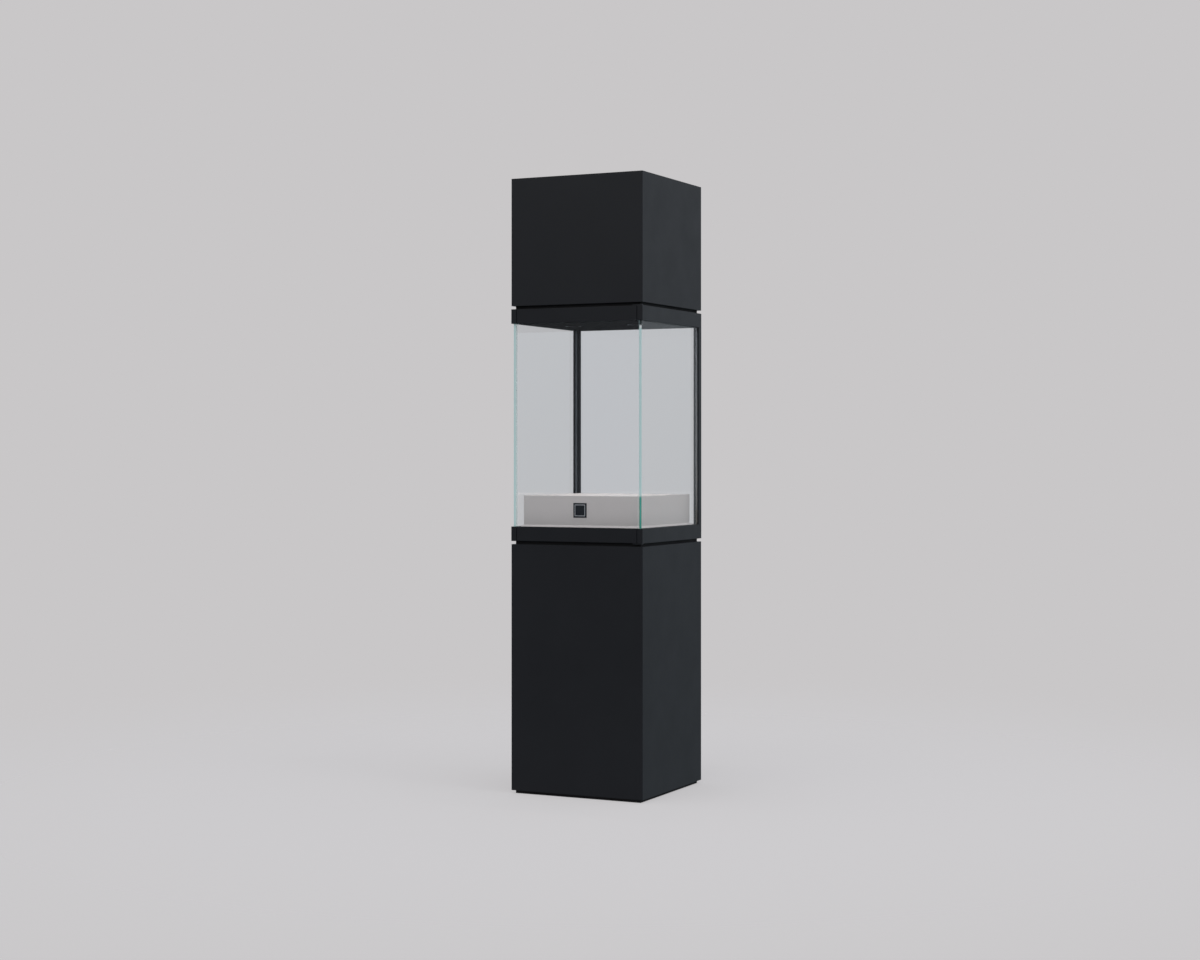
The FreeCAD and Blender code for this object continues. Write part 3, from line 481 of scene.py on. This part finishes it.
def edge_slots(bm, thin_axis):
    """Slot 0 for the two large faces, slot 1 for the polished edges and their arrises."""
    for f in bm.faces:
        f.material_index = 0 if abs(f.normal[thin_axis]) > 0.999 else 1


# ---------------------------------------------------------------- glass panes
def split_solids(node):
    """Boxes of the loose parts of a CAD node, lowest X first."""
    me = nodes[node].data
    bm = bmesh.new()
    bm.from_mesh(me)
    bmesh.ops.remove_doubles(bm, verts=bm.verts, dist=1e-6)
    left, boxes = set(bm.verts), []
    while left:
        stack, seen = [left.pop()], []
        while stack:
            v = stack.pop()
            seen.append(v.co.copy())
            for e in v.link_edges:
                w = e.other_vert(v)
                if w in left:
                    left.discard(w)
                    stack.append(w)
        lo = Vector([min(c[i] for c in seen) for i in range(3)])
        hi = Vector([max(c[i] for c in seen) for i in range(3)])
        boxes.append((lo, hi))
    bm.free()
    return sorted(boxes, key=lambda b: b[0].x)


def pane(name, boxes, thin_axis, body, node, bedded_from, clear):
    bm = bmesh.new()
    for lo, hi in boxes:
        add_box(bm, lo, hi)
    bevel_all(bm, 0.0006, 2)
    bm.normal_update()
    edge_slots(bm, thin_axis)
    for f in bm.faces:
        if f.material_index == 1 and f.calc_center_median().y > bedded_from:
            f.material_index = 2
    o = new_object(name, bm, [clear, EDGE, EDGE_BEDDED], body)
    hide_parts(node)
    return o


pane("side_panes", split_solids("side_glass"), 0, "case", "side_glass", 0.22, SIDE_GLASS)
pane("rear_pane", [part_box("rear_glass")], 1, "case", "rear_glass", 0.0, MAT["clear_glass"])

lo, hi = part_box("door_pane")
rail_lo, rail_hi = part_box("door_rails")
nx = rail_hi.x - 0.0005
z_low, z_up = 0.923, 1.622
outline = [
    (-nx, lo.z), (nx, lo.z), (nx, z_low), (hi.x, z_low), (hi.x, z_up), (nx, z_up),
    (nx, hi.z), (-nx, hi.z), (-nx, z_up), (lo.x, z_up), (lo.x, z_low), (-nx, z_low),
]
bm = bmesh.new()
extrude_outline(bm, outline, lo.y, hi.y)
bevel_all(bm, 0.0006, 2)
bm.normal_update()
edge_slots(bm, 1)
o = new_object("front_pane", bm, [MAT["clear_glass"], EDGE_DOOR], "front_door")
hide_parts("door_pane")


# ---------------------------------------------------------------- small fittings
def turned(bm, centre, profile, segments=32, axis=2):
    """Revolves (radius, height) points about an axis through centre; a closed profile touches radius 0."""
    rings = []
    for r, h in profile:
        ring = []
        if r < 1e-9:
            p = [0, 0, 0]
            p[axis] = h
            ring.append(bm.verts.new(Vector(centre) + Vector(p)))
        else:
            for k in range(segments):
                a = 2 * math.pi * k / segments
                p = [0, 0, 0]
                p[(axis + 1) % 3] = r * math.cos(a)
                p[(axis + 2) % 3] = r * math.sin(a)
                p[axis] = h
                ring.append(bm.verts.new(Vector(centre) + Vector(p)))
        rings.append(ring)
    made = []
    for a, b in zip(rings, rings[1:]):
        for k in range(segments):
            n = (k + 1) % segments
            if len(a) == 1:
                made.append(bm.faces.new((a[0], b[k], b[n])))
            elif len(b) == 1:
                made.append(bm.faces.new((a[k], b[0], a[n])))
            else:
                made.append(bm.faces.new((a[k], b[k], b[n], a[n])))
    bmesh.ops.recalc_face_normals(bm, faces=made)
    return made


# the plain plate on the riser: an eased slab with a pale square line let into its face
lo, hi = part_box("riser_plate")
bm = bmesh.new()
cx, cz, half = (lo.x + hi.x) / 2, (lo.z + hi.z) / 2, (hi.x - lo.x) / 2


def frame_loop(bm, r, y):
    return [bm.verts.new((cx + sx * r, y, cz + sz * r)) for sx, sz in ((-1, -1), (1, -1), (1, 1), (-1, 1))]


steps = [
    (half, hi.y), (half, lo.y + 0.0004), (half - 0.0004, lo.y), (half - 0.0052, lo.y),
    (half - 0.0053, lo.y + 0.00015), (half - 0.0073, lo.y + 0.00015), (half - 0.0074, lo.y), (half * 0.4, lo.y),
]
loops = [frame_loop(bm, r, y) for r, y in steps]
for k, (a, b) in enumerate(zip(loops, loops[1:])):
    for n in range(4):
        f = bm.faces.new((a[n], a[(n + 1) % 4], b[(n + 1) % 4], b[n]))
        f.material_index = 1 if k in (3, 4, 5) else 0
bm.faces.new(loops[-1])
bm.faces.new(list(reversed(loops[0])))
bmesh.ops.recalc_face_normals(bm, faces=bm.faces)
LINE = surface(
    "plate_inlay_line", (0.44, 0.44, 0.45), (0.50, 0.50, 0.51), rough=(0.3, 0.4), spec=0.5, grain=2000, bump=0.1, seed=22.0
)
o = new_object("plain_label", bm, [MAT["plate_dark"], LINE], "case")
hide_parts("riser_plate")

# lamp emitters behind the lenses
LED = surface("emitter_phosphor", (0.80, 0.62, 0.20), (0.86, 0.70, 0.28), rough=(0.4, 0.5), grain=2500, bump=0.3, seed=23.0)
led_bsdf = next(n for n in LED.node_tree.nodes if n.type == "BSDF_PRINCIPLED")
led_bsdf.inputs["Emission Color"].default_value = (1.0, 0.86, 0.66, 1)
led_bsdf.inputs["Emission Strength"].default_value = 2.2
CUP = surface("emitter_reflector", (0.70, 0.70, 0.71), (0.80, 0.80, 0.80), rough=(0.12, 0.2), metal=1.0, grain=1800, bump=0.2, seed=24.0)
for n, body in (("1", "spot_1"), ("2", "spot_2")):
    lo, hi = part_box("spot_lens_" + n)
    c = ((lo.x + hi.x) / 2, (lo.y + hi.y) / 2, hi.z)
    bm = bmesh.new()
    cup = turned(
        bm, c,
        [(0.0064, -0.0002), (0.0066, -0.0006), (0.0100, -0.0012), (0.0128, -0.0019), (0.0133, -0.0019), (0.0133, -0.0001), (0.0064, -0.0001), (0.0064, -0.0002)],
        40,
    )
    for f in cup:
        f.material_index = 0
    dot_faces = turned(bm, c, [(0.0, -0.0009), (0.0045, -0.0009), (0.0058, -0.0006), (0.0063, -0.0003), (0.0063, -0.0001), (0.0, -0.0001)], 40)
    for f in dot_faces:
        f.material_index = 1
    bmesh.ops.remove_doubles(bm, verts=bm.verts, dist=1e-7)
    new_object("spot_emitter_" + n, bm, [CUP, LED], body)

# contact pins in the inlet and screws on the terminal block
lo, hi = Vector((0.1135, 0.1965, 0.0235)), Vector((0.1365, 0.2015, 0.0405))
bm = bmesh.new()
mx, mz = (lo.x + hi.x) / 2, (lo.z + hi.z) / 2
for dx, dz in ((-0.007, -0.002), (0.007, -0.002), (0.0, 0.0035)):
    add_box(bm, (mx + dx - 0.001, lo.y - 0.0005, mz + dz - 0.002), (mx + dx + 0.001, lo.y + 0.0032, mz + dz + 0.002))
bevel_all(bm, 0.0004, 2)
new_object("inlet_pins", bm, [MAT["lock_chrome"]], "case")

lo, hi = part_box("terminal_block")
bm = bmesh.new()
for k in range(6):
    for row in (0.25, 0.75):
        x = lo.x + (hi.x - lo.x) * (k + 0.5) / 6
        y = lo.y + (hi.y - lo.y) * row
        turned(bm, (x, y, hi.z), [(0.0, 0.0003), (0.0006, 0.0003), (0.0009, 0.0010), (0.0019, 0.0010), (0.0023, 0.0006), (0.0023, 0.0), (0.0, 0.0)], 20)
new_object("terminal_screws", bm, [MAT["bush_brass"]], "case")

# ---------------------------------------------------------------- floor and light
def disc(name, radius, z, rings, segs):
    bm = bmesh.new()
    bmesh.ops.create_circle(bm, cap_ends=True, radius=radius, segments=segs)
    for v in bm.verts:
        v.co.z = z
    me = bpy.data.meshes.new(name)
    bm.to_mesh(me)
    bm.free()
    o = bpy.data.objects.new(name, me)
    scene.collection.objects.link(o)
    return o


floor = disc("floor", 9.0, -0.0005, 1, 96)
m, nt = node_tree("floor_pale")
tc = coords(nt)
lit = add(nt, "ShaderNodeBsdfDiffuse", Color=(0.215, 0.210, 0.213, 1), Roughness=0.4)
glow = add(nt, "ShaderNodeEmission", Color=(*BACK, 1), Strength=0.725)
both = nt.nodes.new("ShaderNodeAddShader")
link(nt, lit, "BSDF", both, 0)
link(nt, glow, "Emission", both, 1)
clear = add(nt, "ShaderNodeBsdfTransparent")
length = nt.nodes.new("ShaderNodeVectorMath")
length.operation = "LENGTH"
link(nt, tc, "Object", length, "Vector")
fade = add(nt, "ShaderNodeMapRange")
fade.interpolation_type = "SMOOTHSTEP"
fade.inputs["From Min"].default_value = 0.8
fade.inputs["From Max"].default_value = 4.0
link(nt, length, "Value", fade, "Value")
mix = nt.nodes.new("ShaderNodeMixShader")
link(nt, fade, "Result", mix, "Fac")
link(nt, both, "Shader", mix, 1)
link(nt, clear, "BSDF", mix, 2)
# the underside of the floor is open, so the base of the case can be seen
side = nt.nodes.new("ShaderNodeNewGeometry")
open_below = nt.nodes.new("ShaderNodeMixShader")
link(nt, side, "Backfacing", open_below, "Fac")
link(nt, mix, "Shader", open_below, 1)
link(nt, clear, "BSDF", open_below, 2)
out(nt, open_below, "Shader")
floor.data.materials.append(m)
floor.visible_glossy = False
floor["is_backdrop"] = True

# the studio: an even pale backdrop, with a softer, dimmer side in front of the case
world = bpy.data.worlds.new("studio")
scene.world = world
world.use_nodes = True
nt = world.node_tree
nt.nodes.clear()


def smooth(nt, src, out_name, lo, hi):
    n = add(nt, "ShaderNodeMapRange")
    n.interpolation_type = "SMOOTHSTEP"
    n.inputs["From Min"].default_value = lo
    n.inputs["From Max"].default_value = hi
    nt.links.new(src.outputs[out_name], n.inputs["Value"])
    return n


def mix_two(nt, fac, a, b):
    m = nt.nodes.new("ShaderNodeMix")
    m.data_type = "RGBA"
    for i, v in ((6, a), (7, b)):
        if isinstance(v, tuple):
            m.inputs[i].default_value = (*v, 1)
        else:
            nt.links.new(v.outputs[2], m.inputs[i])
    nt.links.new(fac.outputs[0], m.inputs[0])
    return m


tc = nt.nodes.new("ShaderNodeTexCoord")
sep = nt.nodes.new("ShaderNodeSeparateXYZ")
link(nt, tc, "Generated", sep, "Vector")
dot = nt.nodes.new("ShaderNodeVectorMath")
dot.operation = "DOT_PRODUCT"
dot.inputs[1].default_value = (-0.43, -0.90, 0.0)
link(nt, tc, "Generated", dot, 0)
in_front = smooth(nt, dot, "Value", -0.1, 0.7)
up = smooth(nt, sep, "Z", -0.10, 0.60)
front = mix_two(nt, up, (0.14, 0.146, 0.158), (0.96, 0.96, 0.97))
rising = smooth(nt, sep, "Z", -0.35, 0.65)
behind = mix_two(nt, rising, (0.17, 0.205, 0.225), (0.80, 0.84, 0.90))
dome = mix_two(nt, in_front, behind, front)
seen = nt.nodes.new("ShaderNodeBackground")
seen.inputs["Color"].default_value = (*BACK, 1)
lights = nt.nodes.new("ShaderNodeBackground")
nt.links.new(dome.outputs[2], lights.inputs["Color"])
path = nt.nodes.new("ShaderNodeLightPath")
pick = nt.nodes.new("ShaderNodeMixShader")
link(nt, path, "Is Camera Ray", pick, 0)
link(nt, lights, "Background", pick, 1)
link(nt, seen, "Background", pick, 2)
wo = nt.nodes.new("ShaderNodeOutputWorld")
nt.links.new(pick.outputs[0], wo.inputs["Surface"])


def area(name, loc, target, size, power, colour=(1, 1, 1)):
    d = bpy.data.lights.new(name, "AREA")
    d.shape = "RECTANGLE"
    d.size, d.size_y = size
    d.energy = power
    d.color = colour
    o = bpy.data.objects.new(name, d)
    o.location = loc
    o.rotation_euler = (Vector(target) - Vector(loc)).to_track_quat("-Z", "Y").to_euler()
    scene.collection.objects.link(o)
    return o


area("key_right", (4.5, -0.5, 4.0), (0.2, 0, 1.6), (2.5, 2.5), 40)
area("fill_front", (-1.5, -5.0, 4.5), (0, 0, 1.8), (3.0, 2.0), 25)

# the case's own two lamps, on low
for side in (-1, 1):
    d = bpy.data.lights.new("lamp", "SPOT")
    d.energy = 3.0
    d.color = (1.0, 0.90, 0.82)
    d.spot_size = math.radians(75)
    d.spot_blend = 0.9
    d.shadow_soft_size = 0.012
    o = bpy.data.objects.new("lamp", d)
    o.location = (0.12 * side, -0.03, 1.616)
    scene.collection.objects.link(o)

scene.view_settings.view_transform = "Standard"

lo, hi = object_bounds()
